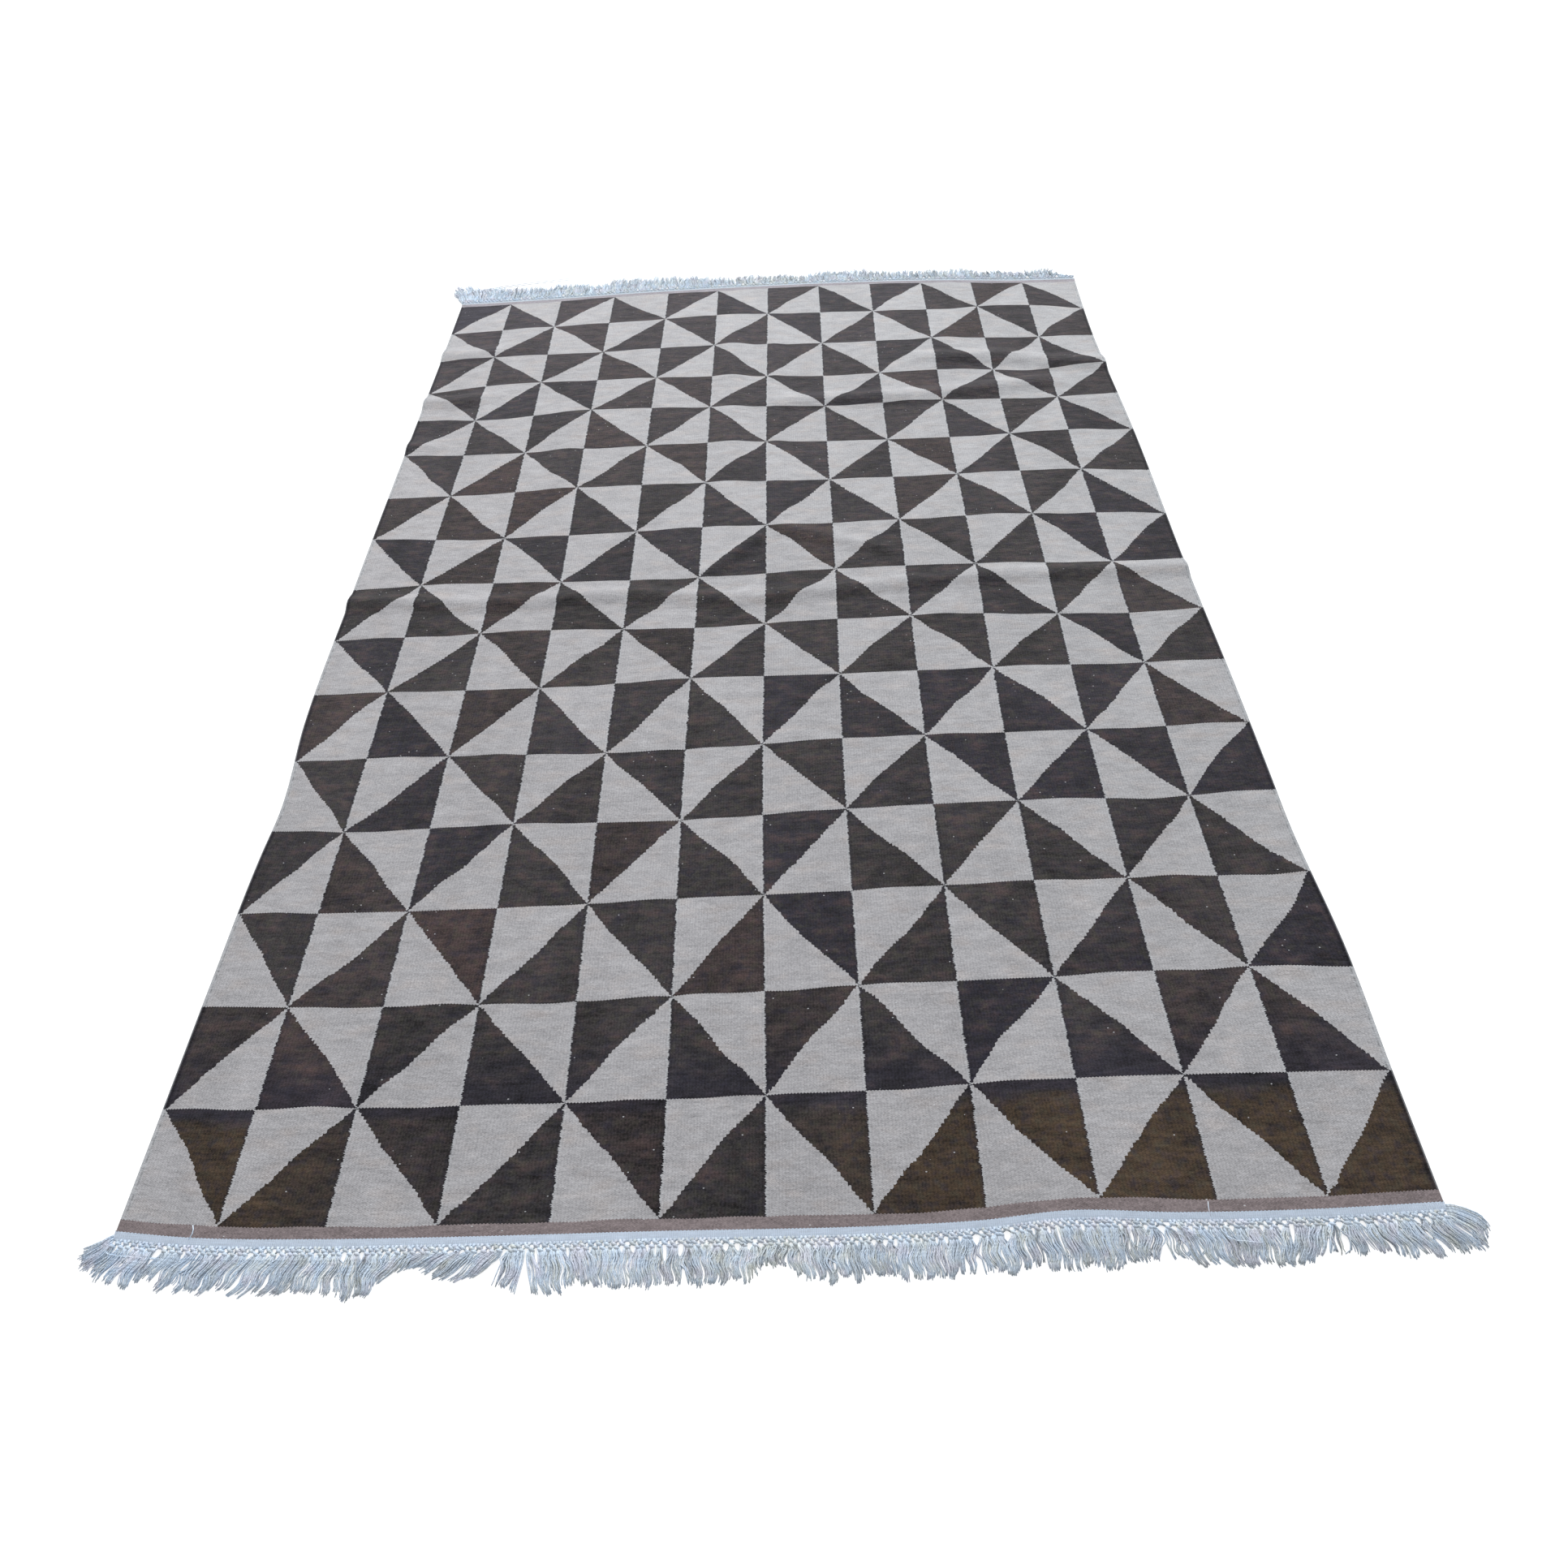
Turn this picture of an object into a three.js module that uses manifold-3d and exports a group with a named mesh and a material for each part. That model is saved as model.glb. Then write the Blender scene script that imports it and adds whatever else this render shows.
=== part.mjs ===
import * as THREE from 'three';
import { mergeVertices } from 'three/addons/utils/BufferGeometryUtils.js';
import Module from 'manifold-3d';

// A flat-woven kilim rug with a knotted fringe at both ends, lying on a floor.
// Millimetres. +Y runs along the warps to the far end, +X across to the right, +Z up.
// Each row of a table is a place on the rug, measured from the middle of its weave.

const wasm = await Module();
wasm.setup();

const CLOTH_THICKNESS = 3;
const PARTING = 0.3;
const PATTERN_COLUMNS = 12;

const HEADING = { width: 20, bandEnd: 11, band: 2.6, knotStart: 13, knotEnd: 18, knots: 4, rim: 2.8 };

// A lock of yarns, how it runs, and how unlike its neighbours it is.
const LOCKS = 132;
const LOCK = { width: 7, tipWidth: 4.4, root: 2.5, belly: 1.2, tip: 2.2 };
const LOCK_RUN = { sunk: 4, steps: 2, bend: 1.35, fill: 0.6 };
const RAGGED = { reachShare: 0.12, calmSweep: 46, sweep: 1.4 };

// The selvedges: the weave is a little wider towards its far end.
const SIDES = [
  { along: -1190, left: -785, right: 790 },
  { along: -1020, left: -785, right: 793 },
  { along: -850, left: -786, right: 798 },
  { along: -620, left: -784, right: 790 },
  { along: -550, left: -780, right: 791 },
  { along: -350, left: -796, right: 793 },
  { along: 0, left: -802, right: 793 },
  { along: 400, left: -806, right: 799 },
  { along: 870, left: -807, right: 795 },
  { along: 1150, left: -810, right: 803 },
];

// The last weft of each end, which bows from side to side.
const ENDS = [
  { across: -800, near: -1174, far: 1151 },
  { across: -690, near: -1185, far: 1153 },
  { across: -540, near: -1190, far: 1158 },
  { across: -400, near: -1191, far: 1166 },
  { across: -130, near: -1190, far: 1171 },
  { across: 150, near: -1190, far: 1169 },
  { across: 250, near: -1187, far: 1166 },
  { across: 360, near: -1178, far: 1161 },
  { across: 480, near: -1183, far: 1152 },
  { across: 650, near: -1183, far: 1133 },
  { across: 800, near: -1178, far: 1133 },
];

// Ripples that lift the cloth off the floor. A ripple dies away over its fade at each end,
// and one that runs past a selvedge lifts that edge too.
const RIPPLES = [
  { height: 6.5, half: 32, fade: 1, course: [[-860, -34], [-540, -56], [-260, -46], [-60, -72], [140, -56],
    [420, -36], [860, -34]] },
  { height: 5, half: 26, fade: 60, course: [[-140, -24], [20, 146]] },
  { height: 5, half: 26, fade: 70, course: [[0, 150], [110, 104], [280, 40]] },
  { height: 8, half: 42, fade: 130, course: [[-60, 606], [200, 600], [420, 606], [600, 632], [730, 644]] },
  { height: 9, half: 46, fade: 120, course: [[300, 772], [560, 756], [680, 716], [900, 700]] },
  { height: 7, half: 38, fade: 100, course: [[-900, 668], [-740, 665], [-600, 690]] },
  { height: 5, half: 38, fade: 90, course: [[-900, 480], [-690, 490]] },
  { height: 6, half: 42, fade: 100, course: [[-900, 892], [-760, 882], [-600, 900]] },
];

// Weft and warp lines of the mesh, close together where ripples run.
const WEFT_ZONES = [
  { from: -1190, to: -120, lines: 6 },
  { from: -120, to: 170, lines: 16 },
  { from: 170, to: 430, lines: 2 },
  { from: 430, to: 950, lines: 19 },
  { from: 950, to: 1150, lines: 2 },
];
const LINES_PER_COLUMN = 2;
const FINE_COLUMNS = { from: 5, to: 8, step: 0.25 };

// How the locks lie: sideways sweep of the tip and reach past the heading, at places across.
const NEAR_LOCKS = [
  { across: -786, sweep: -30, reach: 24 },
  { across: -755, sweep: -34, reach: 38 },
  { across: -715, sweep: -24, reach: 40 },
  { across: -650, sweep: -20, reach: 37 },
  { across: -560, sweep: -28, reach: 40 },
  { across: -490, sweep: -24, reach: 45 },
  { across: -440, sweep: -30, reach: 38 },
  { across: -405, sweep: -38, reach: 27 },
  { across: -370, sweep: -40, reach: 21 },
  { across: -330, sweep: -37, reach: 23 },
  { across: -296, sweep: -32, reach: 28 },
  { across: -282, sweep: -14, reach: 40 },
  { across: -266, sweep: 8, reach: 40 },
  { across: -220, sweep: 0, reach: 36 },
  { across: -180, sweep: 8, reach: 41 },
  { across: -100, sweep: 0, reach: 38 },
  { across: -30, sweep: 8, reach: 36 },
  { across: 15, sweep: -4, reach: 22 },
  { across: 60, sweep: 4, reach: 38 },
  { across: 140, sweep: 0, reach: 38 },
  { across: 240, sweep: 2, reach: 34 },
  { across: 280, sweep: 10, reach: 37 },
  { across: 350, sweep: 12, reach: 38 },
  { across: 440, sweep: 4, reach: 36 },
  { across: 490, sweep: 18, reach: 38 },
  { across: 560, sweep: 18, reach: 40 },
  { across: 620, sweep: 6, reach: 38 },
  { across: 665, sweep: -5, reach: 36 },
  { across: 700, sweep: 14, reach: 32 },
  { across: 740, sweep: 24, reach: 36 },
  { across: 770, sweep: 32, reach: 36 },
  { across: 790, sweep: 34, reach: 26 },
];
const FAR_LOCKS = [
  { across: -810, sweep: -34, reach: 56 },
  { across: -770, sweep: -14, reach: 52 },
  { across: -700, sweep: 0, reach: 40 },
  { across: -600, sweep: 2, reach: 40 },
  { across: -520, sweep: 4, reach: 50 },
  { across: -464, sweep: 0, reach: 32 },
  { across: -414, sweep: 0, reach: 60 },
  { across: -340, sweep: 2, reach: 56 },
  { across: -255, sweep: 4, reach: 64 },
  { across: -190, sweep: 0, reach: 42 },
  { across: -90, sweep: 0, reach: 28 },
  { across: 10, sweep: 2, reach: 38 },
  { across: 114, sweep: 0, reach: 20 },
  { across: 200, sweep: 4, reach: 38 },
  { across: 280, sweep: 2, reach: 38 },
  { across: 400, sweep: 0, reach: 26 },
  { across: 530, sweep: 2, reach: 42 },
  { across: 590, sweep: 0, reach: 22 },
  { across: 680, sweep: -2, reach: 20 },
  { across: 735, sweep: 2, reach: 32 },
  { across: 803, sweep: 4, reach: 16 },
];

const COLOURS = { weave: 0x7d7878, yarn: 0xc3d0da };
const ROUGHNESS = { weave: 0.95, yarn: 0.9 };

const MERGE_WITHIN = 1e-4;
const HASH = { lock: 12.9898, salt: 78.233, spread: 43758.5453 };

/** Value of one named column of a table at a place, joined by straight lines between its rows. */
function lookUp(table, place, at, column) {
  const last = table.length - 1;
  let row = 1;
  while (row < last && table[row][place] < at) row += 1;
  const before = table[row - 1];
  const after = table[row];
  const share = THREE.MathUtils.clamp((at - before[place]) / (after[place] - before[place]), 0, 1);
  return THREE.MathUtils.lerp(before[column], after[column], share);
}

/** Distance on the floor from a point to a line of points. */
function distanceTo(course, x, y) {
  const point = new THREE.Vector2(x, y);
  let nearest = Infinity;
  for (let i = 1; i < course.length; i += 1) {
    const start = new THREE.Vector2(...course[i - 1]);
    const run = new THREE.Vector2(...course[i]).sub(start);
    const share = point.clone().sub(start).dot(run) / run.lengthSq();
    const foot = start.clone().addScaledVector(run, THREE.MathUtils.clamp(share, 0, 1));
    nearest = Math.min(nearest, foot.distanceTo(point));
  }
  return nearest;
}

/** How high the cloth's underside stands off the floor. */
function lift(x, y) {
  let highest = 0;
  for (const { height, half, fade, course } of RIPPLES) {
    const off = distanceTo(course, x, y);
    if (off >= half) continue;
    const [startX, startY] = course[0];
    const [endX, endY] = course[course.length - 1];
    const toEnd = Math.min(Math.hypot(x - startX, y - startY), Math.hypot(x - endX, y - endY));
    const rise = height * 0.5 * (1 + Math.cos((Math.PI * off) / half));
    highest = Math.max(highest, rise * THREE.MathUtils.smoothstep(toEnd, 0, fade));
  }
  return highest;
}

/** Shares of the width at which the warp lines of the mesh run. */
function warpLines() {
  const shares = [];
  for (let line = 0; line <= LINES_PER_COLUMN * PATTERN_COLUMNS; line += 1) {
    const column = line / LINES_PER_COLUMN;
    shares.push(column / PATTERN_COLUMNS);
    if (column >= FINE_COLUMNS.from && column < FINE_COLUMNS.to) {
      shares.push((column + FINE_COLUMNS.step) / PATTERN_COLUMNS);
    }
  }
  return shares;
}

/** Places along the rug at which the weft lines of the mesh run. */
function weftLines() {
  const places = [WEFT_ZONES[0].from];
  for (const { from, to, lines } of WEFT_ZONES) {
    for (let i = 1; i <= lines; i += 1) places.push(from + ((to - from) * i) / lines);
  }
  return places;
}

/** Point across the rug at a share of its width. */
function acrossAt(share, along) {
  const left = lookUp(SIDES, 'along', along, 'left');
  const right = lookUp(SIDES, 'along', along, 'right');
  return THREE.MathUtils.lerp(left, right, share);
}

/**
 * A closed solid from rings of points that follow one another, with a cap on the first and last ring.
 * The points of a ring run clockwise for whoever looks along the rings.
 */
function loft(rings) {
  const sides = rings[0].length;
  const points = rings.flat();
  const index = [];
  for (let r = 1; r < rings.length; r += 1) {
    for (let s = 0; s < sides; s += 1) {
      const a = (r - 1) * sides + s;
      const b = (r - 1) * sides + ((s + 1) % sides);
      index.push(a, b, b + sides, a, b + sides, a + sides);
    }
  }
  const cap = (rings.length - 1) * sides;
  for (let s = 2; s < sides; s += 1) {
    index.push(0, s, s - 1);
    index.push(cap, cap + s - 1, cap + s);
  }
  return closedGeometry(points, index);
}

/** Indexed geometry of points and triangles. */
function closedGeometry(points, index) {
  const geometry = new THREE.BufferGeometry();
  geometry.setAttribute('position', new THREE.Float32BufferAttribute(points.flat(), 3));
  geometry.setIndex(index);
  return mergeVertices(geometry, MERGE_WITHIN);
}

/** The cloth: a sheet of even thickness that follows the ripples, flat on the floor elsewhere. */
function clothGeometry() {
  const shares = warpLines();
  const places = weftLines();
  const rows = places.length;
  const columns = shares.length;
  const under = [];
  const over = [];
  places.forEach((place, row) => {
    for (const share of shares) {
      const x = acrossAt(share, place);
      let y = place;
      if (row === 0) y = lookUp(ENDS, 'across', x, 'near');
      if (row === rows - 1) y = lookUp(ENDS, 'across', x, 'far');
      const z = lift(x, y);
      under.push([x, y, z]);
      over.push([x, y, z + CLOTH_THICKNESS]);
    }
  });
  const top = under.length;
  const index = [];
  for (let r = 1; r < rows; r += 1) {
    for (let c = 1; c < columns; c += 1) {
      const a = (r - 1) * columns + c - 1;
      const b = a + 1;
      const d = a + columns;
      const e = d + 1;
      index.push(top + a, top + b, top + e, top + a, top + e, top + d);
      index.push(a, e, b, a, d, e);
    }
  }
  const rim = [];
  for (let c = 0; c < columns - 1; c += 1) rim.push(c);
  for (let r = 0; r < rows - 1; r += 1) rim.push(r * columns + columns - 1);
  for (let c = columns - 1; c > 0; c -= 1) rim.push((rows - 1) * columns + c);
  for (let r = rows - 1; r > 0; r -= 1) rim.push(r * columns);
  rim.forEach((a, i) => {
    const b = rim[(i + 1) % rim.length];
    index.push(a, b, top + b, a, top + b, top + a);
  });
  return closedGeometry([...under, ...over], index);
}

/** A closed geometry as a solid that can be joined to others. */
function solid(geometry) {
  return new wasm.Manifold(new wasm.Mesh({
    numProp: 3,
    vertProperties: new Float32Array(geometry.attributes.position.array),
    triVerts: new Uint32Array(geometry.index.array),
  }));
}

/** A joined solid as geometry. */
function solidGeometry(joined) {
  const mesh = joined.getMesh();
  const geometry = new THREE.BufferGeometry();
  geometry.setAttribute('position', new THREE.BufferAttribute(new Float32Array(mesh.vertProperties), 3));
  geometry.setIndex(new THREE.BufferAttribute(new Uint32Array(mesh.triVerts), 1));
  return geometry;
}

/** The heading: the plain white band and the row of knots, a strip parted from the cloth's edge. */
function headingGeometry(end, outward) {
  const place = end === 'near' ? SIDES[0].along : SIDES[SIDES.length - 1].along;
  const rings = warpLines().map((share) => {
    const x = acrossAt(share, place);
    const edge = lookUp(ENDS, 'across', x, end);
    const at = (out, z) => [x, edge + outward * out, z];
    return [
      at(PARTING, 0),
      at(HEADING.width, 0),
      at(HEADING.width, HEADING.rim),
      at(HEADING.knotEnd, HEADING.knots),
      at(HEADING.knotStart, HEADING.knots),
      at(HEADING.bandEnd, HEADING.band),
      at(PARTING, HEADING.band),
    ];
  });
  return loft(outward < 0 ? rings.reverse() : rings);
}

/** A repeatable number from -1 to 1 for each lock, so that no two neighbours are alike. */
function unevenness(lock, salt) {
  const wave = Math.sin(lock * HASH.lock + salt * HASH.salt) * HASH.spread;
  return 2 * (wave - Math.floor(wave)) - 1;
}

/** The line that one lock follows on the floor, from inside the heading to its tip. Swept locks lie evenly. */
function lockCourse(lock, end, outward, table) {
  const place = end === 'near' ? SIDES[0].along : SIDES[SIDES.length - 1].along;
  const x = acrossAt((lock + 0.5) / LOCKS, place);
  const edge = lookUp(ENDS, 'across', x, end) + outward * (HEADING.width - LOCK_RUN.sunk);
  const calm = lookUp(table, 'across', x, 'sweep');
  const sweep = calm + RAGGED.sweep * unevenness(lock, 1);
  const raggedShare = RAGGED.reachShare * (1 - Math.abs(calm) / RAGGED.calmSweep);
  const ragged = 1 + raggedShare * unevenness(lock, 2);
  const reach = lookUp(table, 'across', x, 'reach') * ragged + LOCK_RUN.sunk;
  const course = [];
  for (let step = 0; step <= LOCK_RUN.steps; step += 1) {
    const share = step / LOCK_RUN.steps;
    course.push([x + sweep * share ** LOCK_RUN.bend, edge + outward * reach * share]);
  }
  return course;
}

/** One lock of yarns: three-sided, its flat side down on the floor, thinner at its tip. */
function lockGeometry(courses, lock) {
  const course = courses[lock];
  const neighbours = [courses[lock - 1], courses[lock + 1]].filter(Boolean);
  const rings = course.map(([x, y], step) => {
    const share = step / LOCK_RUN.steps;
    const room = Math.min(...neighbours.map((other) => distanceTo(other, x, y)));
    const width = Math.min(THREE.MathUtils.lerp(LOCK.width, LOCK.tipWidth, share), room * LOCK_RUN.fill);
    const height = THREE.MathUtils.lerp(LOCK.root, LOCK.tip, share) + LOCK.belly * Math.sin(Math.PI * share);
    const [fromX, fromY] = course[Math.max(step - 1, 0)];
    const [toX, toY] = course[Math.min(step + 1, LOCK_RUN.steps)];
    const along = new THREE.Vector2(toX - fromX, toY - fromY).normalize();
    const sideX = (along.y * width) / 2;
    const sideY = (-along.x * width) / 2;
    return [[x + sideX, y + sideY, 0], [x - sideX, y - sideY, 0], [x, y, height]];
  });
  return loft(rings);
}

/** One end's fringe: the heading with its locks, which stand apart but for their roots. */
function fringeGeometry(end, outward, table) {
  let joined = solid(headingGeometry(end, outward));
  const courses = [];
  for (let lock = 0; lock < LOCKS; lock += 1) courses.push(lockCourse(lock, end, outward, table));
  for (let lock = 0; lock < LOCKS; lock += 1) joined = joined.add(solid(lockGeometry(courses, lock)));
  return solidGeometry(joined);
}

/** A named piece with its finish. */
function piece(name, geometry, color, roughness) {
  const mesh = new THREE.Mesh(geometry, new THREE.MeshStandardMaterial({ color, roughness, metalness: 0 }));
  mesh.name = name;
  return mesh;
}

const rug = new THREE.Group();
rug.add(piece('kilim_cloth', clothGeometry(), COLOURS.weave, ROUGHNESS.weave));
rug.add(piece('fringe_near', fringeGeometry('near', -1, NEAR_LOCKS), COLOURS.yarn, ROUGHNESS.yarn));
rug.add(piece('fringe_far', fringeGeometry('far', 1, FAR_LOCKS), COLOURS.yarn, ROUGHNESS.yarn));

// The origin is on the floor under the middle of the whole rug, fringes included.
const middle = new THREE.Box3().setFromObject(rug, true).getCenter(new THREE.Vector3());
rug.position.set(-middle.x, -middle.y, 0);
rug.updateMatrixWorld(true);

export default rug;
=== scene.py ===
import math
import random

import bpy
import numpy as np
from mathutils import Matrix, Vector


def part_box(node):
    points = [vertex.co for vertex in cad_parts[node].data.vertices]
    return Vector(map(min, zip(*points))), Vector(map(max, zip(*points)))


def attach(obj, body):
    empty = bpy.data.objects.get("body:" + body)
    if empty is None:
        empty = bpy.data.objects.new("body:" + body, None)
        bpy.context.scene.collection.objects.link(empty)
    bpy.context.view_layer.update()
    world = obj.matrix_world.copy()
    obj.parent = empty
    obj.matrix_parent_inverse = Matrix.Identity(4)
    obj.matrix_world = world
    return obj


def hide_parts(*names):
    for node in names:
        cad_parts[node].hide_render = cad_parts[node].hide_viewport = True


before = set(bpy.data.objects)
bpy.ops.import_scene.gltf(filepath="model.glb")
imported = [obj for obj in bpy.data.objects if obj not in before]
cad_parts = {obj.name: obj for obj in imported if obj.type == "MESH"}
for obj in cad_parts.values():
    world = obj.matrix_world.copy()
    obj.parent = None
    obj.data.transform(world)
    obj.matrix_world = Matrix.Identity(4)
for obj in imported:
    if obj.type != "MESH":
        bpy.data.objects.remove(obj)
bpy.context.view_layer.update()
bpy.context.scene.view_settings.view_transform = "Standard"

# The loom
# The weaver's own measure of the rug, in millimetres from the middle of the pattern: x across to the
# right, y along the warps to the far end. The woven cloth's box in the frame says where that middle lies.
MM = 0.001
CLOTH_LEFT = -810
CLOTH_NEAR = -1191
cloth_low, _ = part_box("kilim_cloth")
LOOM_X = cloth_low.x - CLOTH_LEFT * MM
LOOM_Y = cloth_low.y - CLOTH_NEAR * MM


def placed(x, y, z):
    """Loom millimetres as a point in the frame, in metres."""
    return np.stack(np.broadcast_arrays(LOOM_X + x * MM, LOOM_Y + y * MM, z * MM), axis=-1)


# The view
# A wide lens at chest height, just past the near end of the rug, looking down along it with a slight
# lean to the right.
CAMERA = {"x": 74.3, "y": -1516.5, "z": 1245.7}
CAMERA_LENS = 22.94
CAMERA_SENSOR = 36.0
CAMERA_DOWN = 51.29
CAMERA_YAW = -2.553
CAMERA_ROLL = -4.074

view = bpy.data.cameras.new("view")
view.lens = CAMERA_LENS
view.sensor_width = CAMERA_SENSOR
view.clip_start = 0.05
view.clip_end = 100.0
camera = bpy.data.objects.new("view", view)
bpy.context.scene.collection.objects.link(camera)
turn = Matrix.Rotation(-math.radians(CAMERA_YAW), 4, "Z")
tip = Matrix.Rotation(math.radians(90 - CAMERA_DOWN), 4, "X")
lean = Matrix.Rotation(math.radians(CAMERA_ROLL), 4, "Z")
spot = Vector(placed(CAMERA["x"], CAMERA["y"], CAMERA["z"]))
camera.matrix_world = Matrix.Translation(spot) @ turn @ tip @ lean
bpy.context.scene.camera = camera

# The floor and the light
# The rug lies on a plain pale floor, under soft studio light: a wide panel beyond its far end that
# skims the cloth, a panel overhead, and an even pale room.
FLOOR_SIDE = 30.0
FLOOR_GLOW = 0.7
FLOOR_SHINE = 0.2
SKIM = {"y": 9.5, "z": 5.2, "wide": 9.0, "tall": 3.5, "watts": 1560.0, "aim": 0.3}
OVERHEAD = {"y": 1.6, "z": 3.6, "wide": 4.0, "tall": 4.0, "watts": 60.0, "aim": 1.6}
ROOM_COLOUR = (0.6, 0.6, 0.612, 1.0)


def material_for(piece, name, roughness, sheen):
    """A new material on a piece, by its shader."""
    material = bpy.data.materials.new(name)
    material.use_nodes = True
    shader = material.node_tree.nodes["Principled BSDF"]
    shader.inputs["Roughness"].default_value = roughness
    shader.inputs["Sheen Weight"].default_value = sheen
    piece.data.materials.append(material)
    return shader


def dye(red, green, blue):
    """A colour as it is read off a picture, 0 to 255, as the linear colour that a shader takes."""
    linear = [((level / 255 + 0.055) / 1.055) ** 2.4 for level in (red, green, blue)]
    return (*linear, 1.0)


bpy.ops.object.select_all(action="DESELECT")
bpy.ops.mesh.primitive_plane_add(size=FLOOR_SIDE, location=(0, 0, 0))
floor = bpy.context.object
floor.name = "floor"
floor_shader = material_for(floor, "pale floor", 0.9, 0.0)
floor_shader.inputs["Base Color"].default_value = dye(170, 170, 170)
floor_shader.inputs["Emission Color"].default_value = (1.0, 1.0, 1.0, 1.0)
floor_shader.inputs["Emission Strength"].default_value = FLOOR_GLOW
floor_shader.inputs["Specular IOR Level"].default_value = FLOOR_SHINE

for name, panel in (("skim light", SKIM), ("overhead light", OVERHEAD)):
    light = bpy.data.lights.new(name, "AREA")
    light.shape = "RECTANGLE"
    light.size = panel["wide"]
    light.size_y = panel["tall"]
    light.energy = panel["watts"]
    lamp = bpy.data.objects.new(name, light)
    bpy.context.scene.collection.objects.link(lamp)
    lamp_at = Vector((0, panel["y"], panel["z"]))
    aim = Vector((0, panel["aim"], 0)) - lamp_at
    lamp.matrix_world = Matrix.Translation(lamp_at) @ aim.to_track_quat("-Z", "Y").to_matrix().to_4x4()

room = bpy.data.worlds.new("room")
room.use_nodes = True
room.node_tree.nodes["Background"].inputs["Color"].default_value = ROOM_COLOUR
bpy.context.scene.world = room

# The woven cloth
# One flat-woven woollen cloth, 3 mm thick: twelve by sixteen oblongs, each cut by a diagonal into a dark
# and a light triangle, a taupe stripe at each end, and a corded selvedge on each long side. It is woven
# in one piece on the loom, and lies on the floor in the low ripples of a rug that was folded up.
THICKNESS = 3.0
COLUMNS = 12
ROWS = 16
COLUMN_WIDTH = 132.5
ROW_LENGTH = 145.75
STRIPE = 13.5
PATTERN_MARGIN = 5.0

# The selvedges and the last wefts, in loom millimetres, each at its places along or across.
SIDES_AT = (-1190, -1020, -850, -620, -550, -350, 0, 400, 870, 1150)
SIDES = {
    "left": (-785, -785, -786, -784, -780, -796, -802, -806, -807, -810),
    "right": (790, 793, 798, 790, 791, 793, 793, 799, 795, 806),
}
ENDS_AT = (-800, -690, -540, -400, -130, 150, 250, 360, 480, 650, 800)
ENDS = {
    "near": (-1174, -1185, -1190, -1191, -1190, -1190, -1187, -1178, -1183, -1183, -1178),
    "far": (1151, 1153, 1158, 1166, 1171, 1169, 1166, 1161, 1152, 1133, 1126),
}

# Where the pattern's lines run, as the weaver's hand left them. Each warp line is a place across, at five
# places along. Each weft line is a place along, at eight of the warp lines, as the camera sees it on the
# floor: weft_line takes off what the cloth's height adds to it.
WARP_LINES_AT = (-1025, -436, -2, 590, 1005)
WARP_LINES = {
    1: (-661, -665, -670, -670, -675),
    2: (-528, -527, -528, -536, -543),
    3: (-393, -396, -396, -403, -402),
    4: (-257, -264, -261, -263, -258),
    5: (-126, -132, -128, -127, -126),
    6: (1, -4, 1, 2, 5),
    7: (129, 127, 134, 135, 139),
    8: (262, 263, 268, 267, 273),
    9: (396, 393, 401, 402, 408),
    10: (532, 527, 533, 532, 536),
    11: (661, 655, 658, 660, 667),
}
WEFT_LINES_AT = (0, 1, 3, 5, 7, 9, 11, 12)
WEFT_LINES = {
    1: (-1026, -1030, -1032, -1031, -1027, -1018, -1018, -1019),
    2: (-881, -886, -891, -887, -879, -875, -868, -873),
    3: (-731, -735, -736, -730, -726, -718, -721, -718),
    4: (-580, -587, -582, -587, -575, -571, -573, -567),
    5: (-436, -435, -440, -442, -429, -430, -429, -427),
    6: (-282, -282, -287, -277, -280, -278, -281, -280),
    7: (-144, -142, -138, -148, -139, -140, -155, -148),
    8: (-1, 5, -3, -6, 3, 1, -10, -9),
    9: (156, 145, 141, 149, 145, 150, 142, 130),
    10: (294, 293, 305, 302, 293, 293, 291, 277),
    11: (452, 444, 449, 451, 435, 429, 438, 429),
    12: (593, 583, 607, 595, 581, 586, 570, 576),
    13: (709, 732, 736, 729, 707, 711, 697, 713),
    14: (860, 870, 868, 876, 859, 861, 840, 836),
    15: (994, 1002, 1013, 1027, 1014, 1003, 1000, 969),
}

# Ripples that lift the cloth: how high, how wide to each side, how long they take to die away, and their
# course. The first eight are the ones that show from a step away, and the rest are soft swells.
RIPPLES = (
    {"height": 6.5, "half": 32, "fade": 1, "course": ((-860, -34), (-540, -56), (-260, -46), (-60, -72),
                                                      (140, -56), (420, -36), (860, -34))},
    {"height": 5, "half": 26, "fade": 60, "course": ((-140, -24), (20, 146))},
    {"height": 5, "half": 26, "fade": 70, "course": ((0, 150), (110, 104), (280, 40))},
    {"height": 8, "half": 42, "fade": 130, "course": ((-60, 606), (200, 600), (420, 606), (600, 632),
                                                      (730, 644))},
    {"height": 9, "half": 46, "fade": 120, "course": ((300, 772), (560, 756), (680, 716), (900, 700))},
    {"height": 7, "half": 38, "fade": 100, "course": ((-900, 668), (-740, 665), (-600, 690))},
    {"height": 5, "half": 38, "fade": 90, "course": ((-900, 480), (-690, 490))},
    {"height": 6, "half": 42, "fade": 100, "course": ((-900, 892), (-760, 882), (-600, 900))},
    {"height": 4.5, "half": 62, "fade": 160, "course": ((-80, 190), (-78, 600), (-84, 1080))},
    {"height": 2.5, "half": 34, "fade": 160, "course": ((24, 210), (22, 600), (26, 1060))},
    {"height": 4, "half": 70, "fade": 120, "course": ((-430, 230), (-440, 660))},
    {"height": 3, "half": 70, "fade": 110, "course": ((-600, 820), (-600, 1080))},
    {"height": 3.5, "half": 70, "fade": 110, "course": ((430, 680), (425, 950))},
    {"height": 3, "half": 70, "fade": 90, "course": ((690, 380), (680, 520))},
)
SWELL = {"height": 0.7, "across": 210, "along": 95, "bend": 1.3, "bend_along": 170, "bend_across": 260}


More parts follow.
